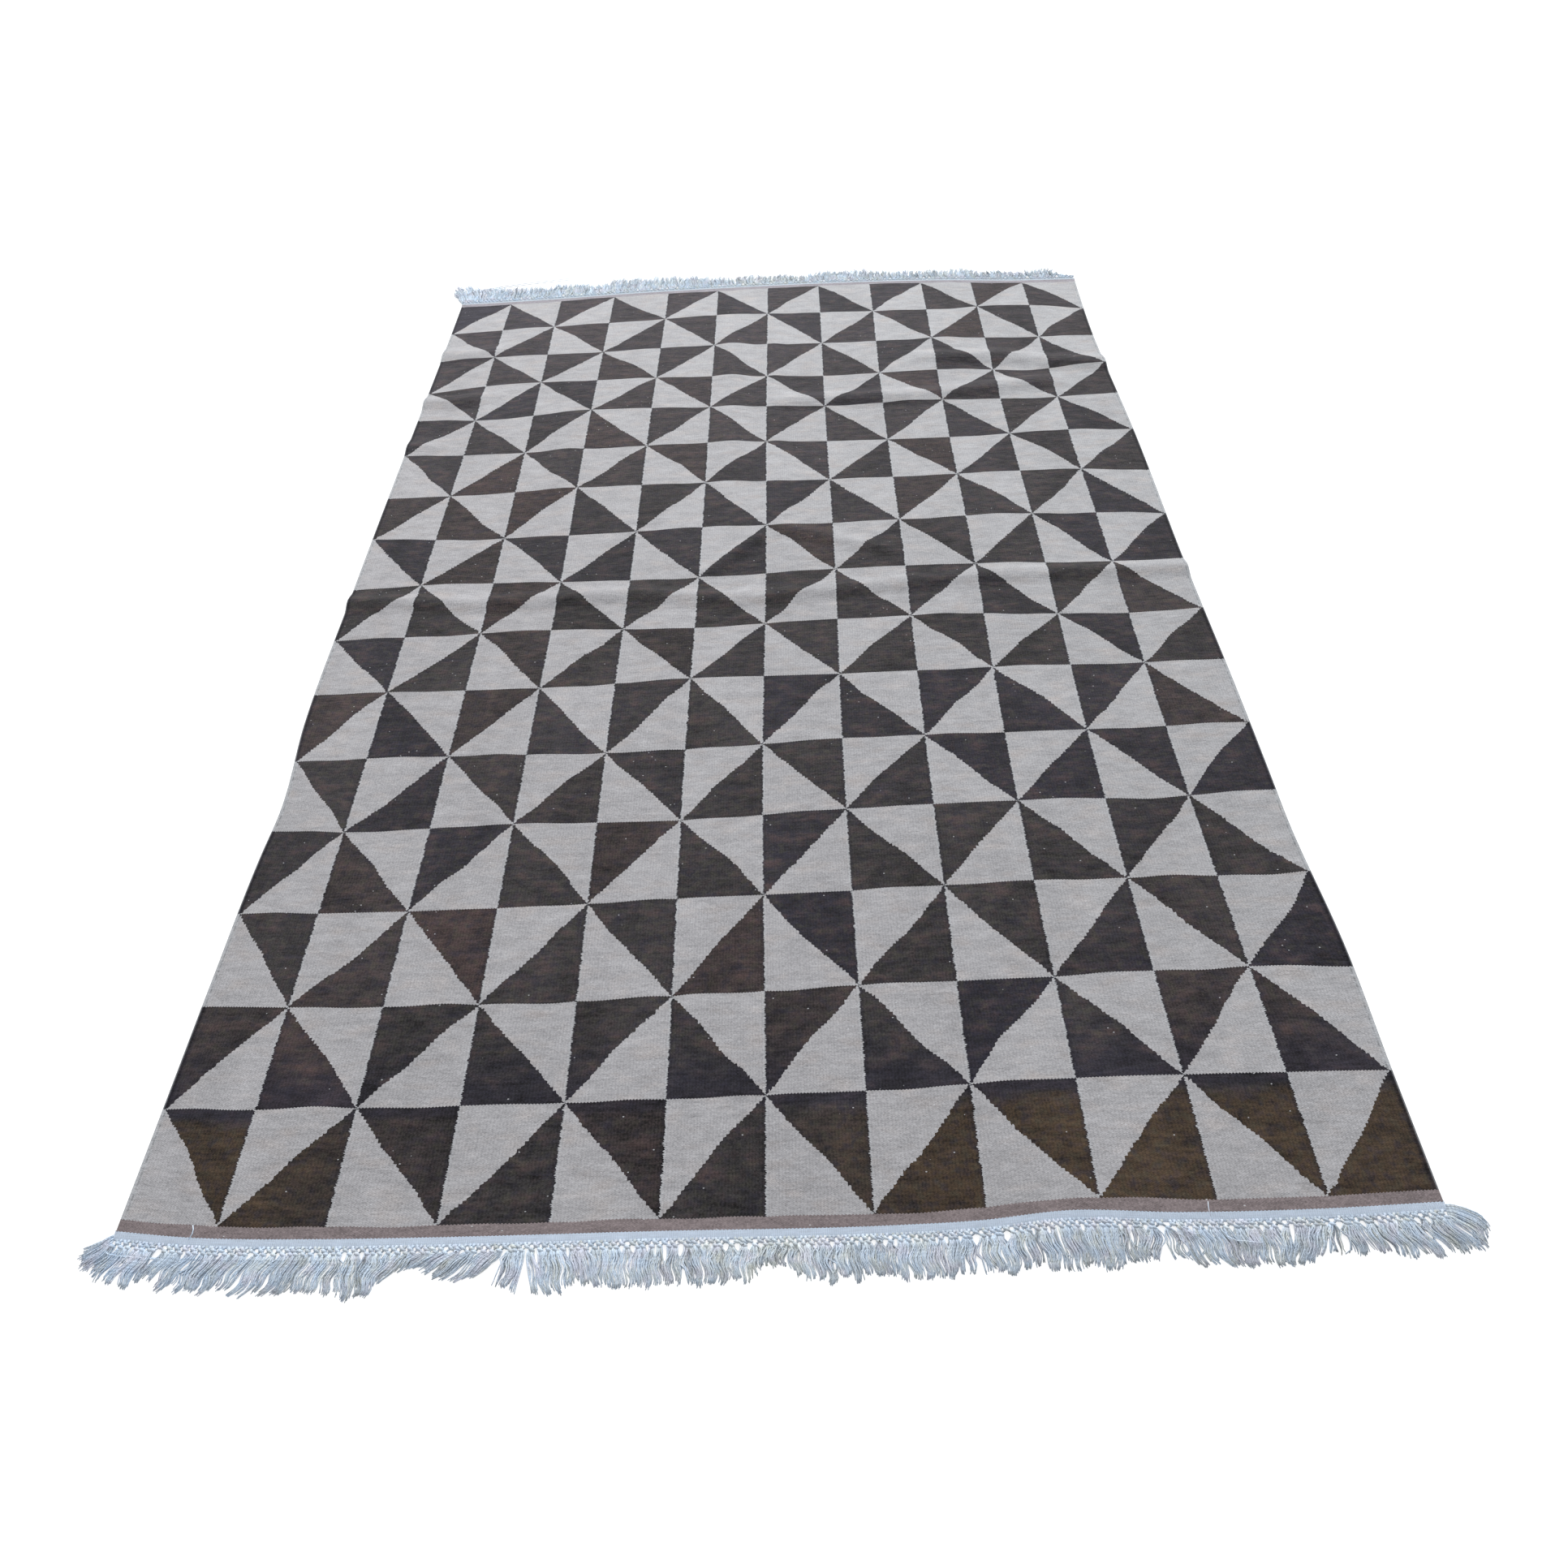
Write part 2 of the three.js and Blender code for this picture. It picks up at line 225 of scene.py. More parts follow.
def through(places, values, at):
    """A smooth line through values at their places."""
    places = np.asarray(places, float)
    values = np.asarray(values, float)
    slopes = np.gradient(values, places)
    at = np.clip(at, places[0], places[-1])
    row = np.clip(np.searchsorted(places, at) - 1, 0, len(places) - 2)
    gap = places[row + 1] - places[row]
    share = (at - places[row]) / gap
    rest = 1 - share
    start = values[row] * (1 + 2 * share) * rest**2 + slopes[row] * gap * share * rest**2
    end = values[row + 1] * (3 - 2 * share) * share**2 - slopes[row + 1] * gap * rest * share**2
    return start + end


def ease(share):
    """0 to 1 with soft ends."""
    share = np.clip(share, 0, 1)
    return share * share * (3 - 2 * share)


def side_at(side, y):
    """Place across of a selvedge's outer edge."""
    return through(SIDES_AT, SIDES[side], y)


def end_at(end, x):
    """Place along of the cloth's last weft."""
    return through(ENDS_AT, ENDS[end], x)


def lift(x, y):
    """How high the cloth's underside stands off the floor, in millimetres."""
    highest = np.zeros_like(x)
    for ripple in RIPPLES:
        course = np.array(ripple["course"], float)
        off = np.full_like(x, np.inf)
        for start, end in zip(course[:-1], course[1:]):
            run = end - start
            share = ((x - start[0]) * run[0] + (y - start[1]) * run[1]) / (run @ run)
            share = np.clip(share, 0, 1)
            off = np.minimum(off, np.hypot(x - start[0] - run[0] * share, y - start[1] - run[1] * share))
        to_start = np.hypot(x - course[0][0], y - course[0][1])
        to_finish = np.hypot(x - course[-1][0], y - course[-1][1])
        rise = ripple["height"] * (0.5 + 0.5 * np.cos(np.pi * np.clip(off / ripple["half"], 0, 1)))
        highest = np.maximum(highest, rise * ease(np.minimum(to_start, to_finish) / ripple["fade"]))
    swell_across = np.sin(x / SWELL["across"] + SWELL["bend"] * np.sin(y / SWELL["bend_along"]))
    swell_along = np.sin(y / SWELL["along"] + np.sin(x / SWELL["bend_across"]))
    return highest + SWELL["height"] * (1 + 0.5 * (swell_across + swell_along))


def warp_line(line, y):
    """Place across of a pattern line between two columns."""
    if line == 0:
        return side_at("left", y) + PATTERN_MARGIN
    if line == COLUMNS:
        return side_at("right", y) - PATTERN_MARGIN
    return through(WARP_LINES_AT, WARP_LINES[line], y)


def weft_line(line, column, x):
    """Place along of a pattern line between two rows, at a place across in columns and in millimetres."""
    if line == 0:
        return end_at("near", x) + STRIPE
    if line == ROWS:
        return end_at("far", x) - STRIPE
    marks = []
    for warp, along in zip(WEFT_LINES_AT, WEFT_LINES[line]):
        across = warp_line(warp, np.array([float(along)]))
        raised = lift(across, np.array([float(along)]))[0]
        marks.append(along - raised * (along - CAMERA["y"]) / CAMERA["z"])
    return through(WEFT_LINES_AT, marks, column)


def weave_place(x, y):
    """Columns and rows of the pattern at points of the cloth."""
    column = np.zeros_like(x)
    before = warp_line(0, y)
    for line in range(1, COLUMNS + 1):
        after = warp_line(line, y)
        share = (x - before) / (after - before)
        here = share >= 0 if line > 1 else np.ones_like(x, bool)
        column = np.where(here, line - 1 + share, column)
        before = after
    row = np.zeros_like(y)
    below = weft_line(0, column, x)
    for line in range(1, ROWS + 1):
        above = weft_line(line, column, x)
        share = (y - below) / (above - below)
        here = share >= 0 if line > 1 else np.ones_like(y, bool)
        row = np.where(here, line - 1 + share, row)
        below = above
    return column, row


# The mesh's lines run close together at each selvedge, to shape its cord and the groove behind that. Given
# are their distances in from the edge, and the heights there of the upper face and of the underside.
SELVEDGE_AT = (0.0, 0.9, 2.4, 4.2, 5.8, 7.2, 9.5, 14.0)
SELVEDGE_TOP = (1.6, 2.7, 3.3, 3.2, 2.5, 2.2, 2.9, 3.0)
SELVEDGE_UNDER = (1.2, 0.3, 0.0, 0.0, 0.0, 0.0, 0.0, 0.0)
LINE_PITCH = 10.0
LINES_ALONG = 236
CLOTH_LENGTH = 2350
OUTLINE_ROUNDS = 3
SMOOTH_UP_TO = 50

at_middle = SIDES_AT.index(0)
cloth_width = SIDES["right"][at_middle] - SIDES["left"][at_middle]
edge_shares = np.array(SELVEDGE_AT) / cloth_width
inner_lines = round((cloth_width - 2 * SELVEDGE_AT[-1]) / LINE_PITCH) + 1
inner_shares = np.linspace(edge_shares[-1], 1 - edge_shares[-1], inner_lines)
line_shares = np.concatenate([edge_shares[:-1], inner_shares, 1 - edge_shares[-2::-1]])
lines_across = len(line_shares)

bpy.ops.object.select_all(action="DESELECT")
bpy.ops.mesh.primitive_grid_add(x_subdivisions=lines_across - 1, y_subdivisions=LINES_ALONG - 1, size=1)
cloth = bpy.context.object
cloth.name = "woven_cloth"
bpy.ops.object.mode_set(mode="EDIT")
bpy.ops.mesh.select_all(action="SELECT")
bpy.ops.mesh.extrude_region_move(TRANSFORM_OT_translate={"value": (0, 0, THICKNESS * MM)})
bpy.ops.object.mode_set(mode="OBJECT")

# Each edge's place hangs on the one it meets at a corner, so the points settle in a few rounds.
along = np.repeat(np.linspace(0, 1, LINES_ALONG), lines_across)
across = np.tile(line_shares, LINES_ALONG)
y = CLOTH_NEAR + along * CLOTH_LENGTH
for _ in range(OUTLINE_ROUNDS):
    x = side_at("left", y) * (1 - across) + side_at("right", y) * across
    y = end_at("near", x) * (1 - along) + end_at("far", x) * along
in_from_edge = np.minimum(across, 1 - across) * cloth_width
raised = lift(x, y)
under = placed(x, y, raised + np.interp(in_from_edge, SELVEDGE_AT, SELVEDGE_UNDER))
over = placed(x, y, raised + np.interp(in_from_edge, SELVEDGE_AT, SELVEDGE_TOP))
cloth.data.vertices.foreach_set("co", np.concatenate([under, over]).ravel())

# Two maps: columns and rows of the pattern, and millimetres across and in from the nearer end.
to_end = np.minimum(y - end_at("near", x), end_at("far", x) - y)
corners = np.zeros(len(cloth.data.loops), int)
cloth.data.loops.foreach_get("vertex_index", corners)
while cloth.data.uv_layers:
    cloth.data.uv_layers.remove(cloth.data.uv_layers[0])
for name, values in (("weave", weave_place(x, y)), ("ends", (x, to_end))):
    both_faces = np.tile(np.stack(values, axis=-1), (2, 1))
    cloth.data.uv_layers.new(name=name).data.foreach_set("uv", both_faces[corners].ravel())
cloth.data.update()
bpy.ops.object.shade_smooth_by_angle(angle=math.radians(SMOOTH_UP_TO))

LIGHT_WOOL = dye(150, 149.5, 152)
COOL_WOOL = dye(149, 151.5, 154)
CREAM_WOOL = dye(162, 153.5, 149)
DARK_WOOL = dye(39, 37, 38)
DARK_WOOL_FAR = dye(40, 36, 41)
BROWN_WOOL = dye(49, 39, 29)
RED_BROWN_WOOL = dye(49, 37, 36)
BLUE_WOOL = dye(26, 25, 34)
PATCH_RED = dye(45, 37, 38)
PATCH_GREEN = dye(41, 40, 33)
JOIN_WHITE = dye(160, 166, 170)
LINT_WHITE = dye(190, 192, 196)
TAUPE = dye(115, 106, 107)
TAUPE_FAR = dye(132, 129, 135)
# The far band is the same white yarn as the near one, painted darker: painted shade, set for how the far end
# is lit.
BAND_WHITE = dye(179, 192, 208)
BAND_WHITE_FAR_PAINTED_DARKER = dye(149, 162, 173)

# A column's warps, and its teeth, which take two warps each; a row's wefts, and the turns that the two
# colours' wefts make round the warp where they join; the teeth of an end stripe, in millimetres.
WARPS = 62
TEETH = 31
WEFTS = 66
COMB = 52
END_TOOTH = {"pitch": 4.4, "deep": 1.8, "back": 0.5}

# How far the lines stray from straight, and how near to a join and to a line the wool is darker, both in
# millimetres. A diagonal's slant turns a height over it into a distance from it, JOIN_CLEAR keeps the outer
# columns' joins on the cloth, and STEP_SHARE is how much of a diagonal's climb goes in steps.
STRAY = {"row": 14.0, "tooth": 1.35, "comb": 4.2, "join": 8.0, "swerve": 26.0, "waver": 7.0}
JOIN_RIM = 4.5
LINE_RIM = 3.5
DIAGONAL_SLANT = 0.68
JOIN_CLEAR = 0.002
STEP_SHARE = 0.6
# Where the dotted dark line in the selvedge's groove lies and how dark it is: painted shade in the groove.
GROOVE_SHADE = {"at": 5.6, "half": 1.6, "dark": 0.45}
RIM = {"wide": 2.6, "pale": 0.3}
LINT = {"across": 22, "along": 40, "size": 0.2, "rare": 0.985, "strength": 0.6}


class Value:
    """A shader socket. Python's operators on it add Math nodes, and node() adds any other node."""

    def __init__(self, socket):
        self.socket = socket

    def node(self, kind, settings=None, inputs=None, output=0):
        """Adds a node: its settings first, then the values or links of its sockets."""
        tree = self.socket.id_data
        made = tree.nodes.new(kind)
        for name, value in (settings or {}).items():
            setattr(made, name, value)
        for name, value in (inputs or {}).items():
            if isinstance(value, Value):
                tree.links.new(value.socket, made.inputs[name])
            else:
                made.inputs[name].default_value = value
        return Value(made.outputs[output])

    def math(self, operation, *others):
        """Adds a Math node on this value and the others."""
        return self.node("ShaderNodeMath", {"operation": operation}, dict(enumerate((self, *others))))

    def __add__(self, other):
        return self.math("ADD", other)

    def __radd__(self, other):
        return self.math("ADD", other)

    def __sub__(self, other):
        return self.math("SUBTRACT", other)

    def __rsub__(self, other):
        return self.node("ShaderNodeMath", {"operation": "SUBTRACT"}, {0: other, 1: self})

    def __mul__(self, other):
        return self.math("MULTIPLY", other)

    def __rmul__(self, other):
        return self.math("MULTIPLY", other)

    def __gt__(self, other):
        return self.math("GREATER_THAN", other)

    def __lt__(self, other):
        return self.math("LESS_THAN", other)


def parts_of(vector):
    """The first two values of a place or colour."""
    first = vector.node("ShaderNodeSeparateXYZ", None, {0: vector})
    return first, Value(first.socket.node.outputs[1])


def map_of(shader, name):
    """The two values of a piece's own map."""
    return parts_of(Value(shader.inputs["Base Color"]).node("ShaderNodeUVMap", {"uv_map": name}))


def joined(first, second, third=0.0):
    """Three values as one place or colour."""
    return first.node("ShaderNodeCombineXYZ", None, {0: first, 1: second, 2: third})


def cloudy(place, scale=1.0, detail=2.0):
    """Smooth noise from 0 to 1 at a place."""
    return place.node("ShaderNodeTexNoise", None, {"Vector": place, "Scale": scale, "Detail": detail})


def noise(across, along, scale_across, scale_along, detail=2.0, salt=0.0):
    """Smooth noise over the weave, stretched by its scales per column and per row."""
    return cloudy(joined(across * scale_across, along * scale_along, salt), 1.0, detail)


def between(value, low, high):
    """0 at the low value, 1 at the high one, and a straight rise or fall from one to the other."""
    return ((value - low) * (1 / (high - low))).math("MAXIMUM", 0.0).math("MINIMUM", 1.0)


def mix(factor, first, second, kind="MIX"):
    """First colour turned into the second by a factor."""
    start = next(v for v in (factor, first, second) if isinstance(v, Value))
    return start.node(
        "ShaderNodeMix",
        {"data_type": "RGBA", "blend_type": kind},
        {0: factor, 6: first, 7: second},
        output=2,
    )


def tint(colour, shade):
    """A colour times a shade."""
    return mix(1.0, colour, joined(shade, shade, shade), "MULTIPLY")


def dyed(colour, lots):
    """A colour with its dye lots, each laid over the ones before it."""
    for follows, low, high, strength, lot in lots:
        colour = mix(between(follows, low, high) * strength, colour, lot)
    return colour


def varied(middle, amounts):
    """A shade about a middle, which each noise raises and lowers by its amount."""
    return middle + sum((cloud - 0.5) * amount for cloud, amount in amounts)


def end_teeth(across):
    """How far the teeth between an end stripe and its band reach, in millimetres."""
    return (across * (1 / END_TOOTH["pitch"])).math("PINGPONG", 0.5) * END_TOOTH["deep"] - END_TOOTH["back"]


def finish(shader, colour, relief, strength, depth):
    """Links a shader's colour and its relief."""
    bump = relief.node("ShaderNodeBump", None, {"Strength": strength, "Distance": depth, "Height": relief})
    shader.id_data.links.new(colour.socket, shader.inputs["Base Color"])
    shader.id_data.links.new(bump.socket, shader.inputs["Normal"])


shader = material_for(cloth, "woven wool", 0.85, 0.06)
shader.inputs["Specular IOR Level"].default_value = 0.16
u, v = map_of(shader, "weave")

# Where the colours change: the row lines bow between the warp lines, a tooth for each pair of warps.
inside = (u.math("FRACT") * math.pi).math("SINE")
bow = (noise(u, v, 0.9, 1.0, 0.0, 3.0) - 0.53) * inside * (STRAY["row"] / ROW_LENGTH)
tooth = (u * TEETH).math("PINGPONG", 0.5) * 2 - 0.5
v_bowed = v + bow
v_row = v_bowed + tooth * (STRAY["tooth"] / ROW_LENGTH)
row_at = v_row.math("FLOOR")
up = v_bowed - row_at
in_field = (v_row > 0) * (v_row < ROWS)

# The joins along the warps: the wefts of the two colours turn round one warp by turns, like a comb.
uneven = noise(u, v, 0.7, 9.0, 1.0, 13.0)
comb_place = v * COMB + (noise(u, v, 0.7, 30.0, 1.0, 17.0) - 0.5) * 2.2
comb = (comb_place.math("PINGPONG", 0.5) * 2 - 0.5) * uneven * (STRAY["comb"] / COLUMN_WIDTH)
join_wander = (noise(u, v, 0.7, 24.0, 3.0, 11.0) - 0.5) * (STRAY["join"] / COLUMN_WIDTH)
u_join = (u + comb + join_wander).math("MAXIMUM", JOIN_CLEAR).math("MINIMUM", COLUMNS - JOIN_CLEAR)
column_at = u_join.math("FLOOR")
beyond_join = u_join.math("FRACT")

# The diagonals climb in steps of a warp pair, with the weaver's small swerves, and lean the other way in
# every other cell. Each column changes over which of its two triangles is dark.
odd_column = (column_at * 0.5).math("FRACT") * 2
odd_cell = (((column_at + row_at) * 0.5).math("FRACT") * 2).math("ROUND")
climb = u - column_at
stepped = ((climb * TEETH).math("FLOOR") + 0.5) * (STEP_SHARE / TEETH) + climb * (1 - STEP_SHARE)
slope = stepped * odd_cell + (1 - stepped) * (1 - odd_cell)
swerve = (noise(u, v, 1.5, 1.3, 0.0, 7.0) - 0.5) * inside * (STRAY["swerve"] / ROW_LENGTH)
for fineness, salt in ((6.0, 9.0), (26.0, 19.0)):
    swerve = swerve + (noise(u, v, fineness, fineness, 1.0, salt) - 0.5) * (STRAY["waver"] / ROW_LENGTH)
over_diagonal = up - slope + swerve
dark = ((over_diagonal > 0) - odd_column).math("ABSOLUTE")

# Closeness to a join, and to a row line or a diagonal, from 0 at the rim to 1 on the line.
from_join = (beyond_join - beyond_join.math("ROUND")).math("ABSOLUTE") * COLUMN_WIDTH
from_row = (up - up.math("ROUND")).math("ABSOLUTE") * ROW_LENGTH
from_diagonal = over_diagonal.math("ABSOLUTE") * (ROW_LENGTH * DIAGONAL_SLANT)
near_join = between(from_join, JOIN_RIM, 0.0)
near_line = between(from_row.math("MINIMUM", from_diagonal), LINE_RIM, 0.0)
near_edge = near_join.math("MAXIMUM", near_line * 0.6) * in_field

# The wool's unevenness: streaks of single wefts, grains, patches that run along the wefts, what one cell's
# yarn differs by, and the ribs of warp pairs, painted as light and shade, which show more in some places.
streak = noise(u, v, 4.5, 34.0, 3.0, 21.0)
grain = noise(u, v, 46.0, 62.0, 1.0, 31.0)
patch = noise(u, v, 3.2, 7.5, 5.0, 41.0)
other_patch = noise(u, v, 2.6, 6.5, 5.0, 51.0)
cell_lot = noise(column_at + beyond_join * 0.2, row_at + over_diagonal * 0.2, 3.7, 3.7, 0.0, 61.0)
cell_tint = noise(column_at, row_at, 3.3, 3.3, 0.0, 63.0) + (6 - u) * 0.014 - (u < 1) * 0.16
tinge = noise(u, v, 11.0, 13.0, 1.0, 81.0)
other_tinge = noise(u, v, 10.0, 12.0, 1.0, 91.0)
crossing = joined((u * WARPS).math("FLOOR"), (v * WEFTS).math("FLOOR"))
speckle = crossing.node("ShaderNodeTexWhiteNoise", {"noise_dimensions": "2D"}, {"Vector": crossing})
rib = (u * (WARPS * math.pi)).math("SINE").math("ABSOLUTE")
rib_pair_shade = (u * (TEETH * math.pi)).math("SINE").math("ABSOLUTE") * noise(u, v, 5.0, 6.0, 1.0, 71.0)

# The dark wool is brown in the first row, but less so in its middle, and bluer in a belt past it. Its
# shade is lighter low in the field, and high in it on the left.
brown_row = 1 - between(v + (patch - 0.5) * 0.5, 0.78, 0.92)
brown_side = between((u - 4.3).math("ABSOLUTE") + (patch - 0.5) * 1.2, 1.7, 3.2)
blue_belt = between(v, 0.87, 0.93) * (1 - between(v + (patch - 0.5) * 1.2, 1.15, 1.6))
wool = dyed(DARK_WOOL, (
    # what it follows, from, to, how strong, colour
    (v, 8.0, 15.0, 1.0, DARK_WOOL_FAR),
    (cell_tint, 0.54, 0.74, 0.7, RED_BROWN_WOOL),
    (cell_tint, 0.46, 0.28, 0.8, BLUE_WOOL),
    (patch, 0.5, 0.68, 0.6, RED_BROWN_WOOL),
    (other_patch, 0.46, 0.3, 0.8, BLUE_WOOL),
    (brown_row * brown_side, 0.0, 1.0, 1.0, BROWN_WOOL),
    (tinge, 0.5, 0.66, 0.45, PATCH_GREEN),
    (tinge, 0.46, 0.34, 0.45, PATCH_RED),
    (other_tinge, 0.52, 0.68, 0.5, BLUE_WOOL),
    (v - u, 14.9, 15.1, 0.9, BLUE_WOOL),
    (blue_belt, 0.0, 1.0, 0.7, BLUE_WOOL),
    (near_join, 0.0, 1.0, 0.6, BLUE_WOOL),
))
low_field = between(v, 0.8, 2.4) * (1 - between(v, 5.5, 7.0))
shade = varied(1.12, ((streak, 1.9), (grain, 1.2), (speckle, 0.7), (cell_lot, 1.1), (patch, 2.5)))
shade = shade + (tinge - 0.5) * 0.6 + rib_pair_shade * 0.7 - near_edge * 0.4
shade = shade + low_field * (0.24 - between(u, 2.0, 6.0) * 0.1)
shade = shade + (5 - u) * 0.035 * between(v, 10.0, 13.0) + brown_row * between(u, 7.0, 9.0) * 0.14
wool = tint(wool, shade.math("MAXIMUM", 0.25))

pale = dyed(LIGHT_WOOL, (
    (u * 0.05 + v * 0.04, 0.4, 1.1, 0.5, COOL_WOOL),
    (other_patch, 0.5, 0.75, 0.45, CREAM_WOOL),
    (near_join, 0.0, 1.0, 0.35, JOIN_WHITE),
))
pale_shade = varied(0.92, ((streak, 0.22), (grain, 0.36), (speckle, 0.2), (cell_lot, 0.18), (patch, 0.42)))
# The light wool is up to 5% lighter from row 4 to row 9 and beyond: painted light, for the brighter light on
# the far rows.
pale = tint(pale, pale_shade + rib_pair_shade * 0.2 + between(v, 4.0, 9.0) * 0.05)
field = mix(dark, pale, wool)

# The selvedges: a pale rim on the cord, and a dotted dark line of painted shade in the groove behind it.
from_side = u.math("MINIMUM", COLUMNS - u) * COLUMN_WIDTH + PATTERN_MARGIN
dots = between(noise(u, v, 0.0, 14.0, 2.0, 15.0), 0.42, 0.6)
groove_shade = between((from_side - GROOVE_SHADE["at"]).math("ABSOLUTE"), GROOVE_SHADE["half"], 0.0) * dots
field = tint(field, 1 - groove_shade * GROOVE_SHADE["dark"])
field = mix((from_side < RIM["wide"]) * RIM["pale"], field, JOIN_WHITE)

# The taupe stripe of each end, and the white of the band that follows it past a row of teeth.
end_x, to_end = map_of(shader, "ends")
far_half = v > ROWS / 2
# The stripe's rib term is painted light on the crests of the warp ribs.
stripe_shade = varied(0.96, ((grain, 0.7), (streak, 0.3), (speckle, 0.3), (patch, 0.5))) + rib * 0.08
stripe = tint(mix(far_half, TAUPE, TAUPE_FAR), stripe_shade)
stripe = mix(to_end < end_teeth(end_x), stripe, mix(far_half, BAND_WHITE, BAND_WHITE_FAR_PAINTED_DARKER))
woven = mix(in_field, stripe, field)

# Lint: small white flecks caught in the weave.
fleck_place = joined(u * LINT["across"], v * LINT["along"])
fleck = fleck_place.node("ShaderNodeTexVoronoi", {"feature": "F1"}, {"Vector": fleck_place, "Scale": 1.0})
luck, _ = parts_of(Value(fleck.socket.node.outputs["Color"]))
lint = (fleck < LINT["size"]) * (luck > LINT["rare"])
woven = mix(lint * LINT["strength"], woven, LINT_WHITE)

# Relief: a rib for each warp, the wefts that cross it by turns, and a raised line at each join.
weft = ((v * WEFTS + (u * WARPS).math("FLOOR") * 0.5) * (2 * math.pi)).math("SINE")
relief = rib * 0.2 + weft * 0.08 + near_join * 0.5 * in_field + grain * 0.8
relief = relief + (streak - 0.5) * 0.7 + (patch - 0.5) * 4.0
finish(shader, woven, relief, 0.6, MM)

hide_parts("kilim_cloth")
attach(cloth, "root")

# The fringes
# Each end is finished with a white band, woven on past the cloth's last weft, whose warps are tied off in
# two rows of small knots and hang free past them as plied yarns. Feet have swept the near ones aside in
# places; the far ones stand up a little. The tables give how far they lean and reach past the knots.
BAND_OUTS = (-0.6, 1.5, 4.0, 6.8, 9.4, 10.4)
BAND_TOPS = (2.95, 2.9, 2.8, 2.6, 2.2, 1.2)
BAND_OUT = BAND_OUTS[-1]
BAND_STATIONS = 402
BAND_WARP = 2.55
BAND_WEFTS = 1.1
CORNERS_ABOUT = {"left": -790.0, "right": 790.0}

# The two rows of knots: how far out, and how wide and deep a knot is. Each knot is slanted, and is tied
# from two legs, which come out from under the band's edge or from the knots before it.
FIRST_KNOTS = {"out": 12.6, "wide": 7.4, "deep": 4.4}
SECOND_KNOTS = {"out": 16.8, "wide": 6.8, "deep": 4.6}
KNOT = {"pitch": 9.4, "stray": 0.7, "out": 0.4, "wide": (0.85, 1.1), "slant": (1.8, 4.2), "tone": (0.3, 0.8)}
KNOT_SHAPE = (0.5, 1.0, 1.0, 0.5)
KNOTS_IN = 3
ROOT = {"across": (2.7, 2.3, 1.2), "under": 2.2, "height": (1.9, 2.0, 2.2), "thick": 1.9, "tone": (0.2, 0.8)}
# The onward legs run to a darker tone than the knots: painted shade, for the knots' shade over them.
LEG = {"across": 0.8, "height": 2.0, "over": 2.4, "cross": 0.3, "thick": 1.25, "tone": (-0.2, 0.7)}

# The yarns: the tufts that they hang together in, their small waves, and the partings between them.
FULL_TURN = 6.28
SWEEP_BEND = 1.2
CORNER_ROOM = 3.4
# A parting that ends past OPEN_END stays open, and yarns shorter than SHORT_YARN rise less.
OPEN_END = 60
SHORT_YARN = 24
# The share of yarns at each end that are painted dark, as shadows between the yarns.
PAINTED_SHADOW_SHARE = {"near": 0.03, "far": 0.14}
YARN = {
    "radius": 0.86,
    "tip": 0.55,
    "sides": 4,
    "rings": 9,
    "each": 13,
    "room": 0.85,
    "fan": 2.1,
    "layer": 3.0,
}
PARTING = {"apart": (14, 44), "half": (1.1, 2.0), "long": (5, 11), "clear": 10.0, "reach": 4.0, "near": 22}
TUFT = {
    "wide": (9, 19),
    "pull": 0.38,
    "ragged": 0.13,
    "point": (2.5, 7.5),
    "wave": (1.2, 3.0),
    "turn": 0.9,
    "wavelength": 31.0,
}
CRIMP = {"wave": (0.2, 0.9), "wavelength": (12, 26), "lean": 2.0}
NEAR_LOCKS = (
    # across, sweep, reach
    (-786, -22, 15), (-776, -21, 26), (-764, -18, 35), (-750, -18, 37), (-731, -18, 35), (-712, -19, 29),
    (-687, -22, 34), (-657, -20, 36), (-630, -21, 36), (-592, -24, 37), (-562, -22, 40), (-535, -17, 39),
    (-518, -16, 40), (-505, -11, 41), (-492, 0, 41), (-478, 0, 41), (-470, -4, 43), (-452, -15, 40),
    (-430, -24, 33), (-418, -22, 19), (-405, -22, 13), (-390, -27, 12), (-370, -32, 19), (-345, -34, 26),
    (-320, -34, 27), (-305, -32, 25), (-302, -9, 37), (-284, -8, 38), (-278, 10, 39), (-266, 12, 43),
    (-245, 8, 40), (-228, 12, 33), (-215, 14, 37), (-200, 6, 40), (-180, 1, 39), (-150, 2, 37),
    (-120, 2, 39), (-102, 2, 39), (-92, 9, 38), (-75, 6, 39), (-50, 2, 40), (-30, 0, 39), (-14, -1, 35),
    (0, -1, 23), (14, -2, 19), (28, 1, 22), (38, 3, 33), (60, 5, 38), (76, 1, 41), (100, 5, 37),
    (130, 2, 34), (160, 0, 40), (185, 0, 37), (207, 0, 39), (225, -4, 33), (240, -7, 33), (248, 0, 32),
    (256, 5, 35), (272, 4, 39), (300, 4, 37), (330, 10, 43), (346, 10, 39), (362, 7, 43), (380, 4, 39),
    (402, 1, 41), (412, 2, 35), (425, 3, 34), (446, -6, 33), (456, -7, 31), (460, 0, 31), (466, 7, 32),
    (480, 13, 35), (500, 15, 36), (525, 15, 38), (560, 3, 35), (590, 5, 38), (602, -8, 35),
    (620, -14, 35), (645, -14, 34), (656, -8, 31), (668, 0, 31), (682, 6, 31), (700, 13, 33),
    (720, 18, 36), (745, 20, 35), (765, 22, 35), (780, 24, 31), (790, 27, 27),
)
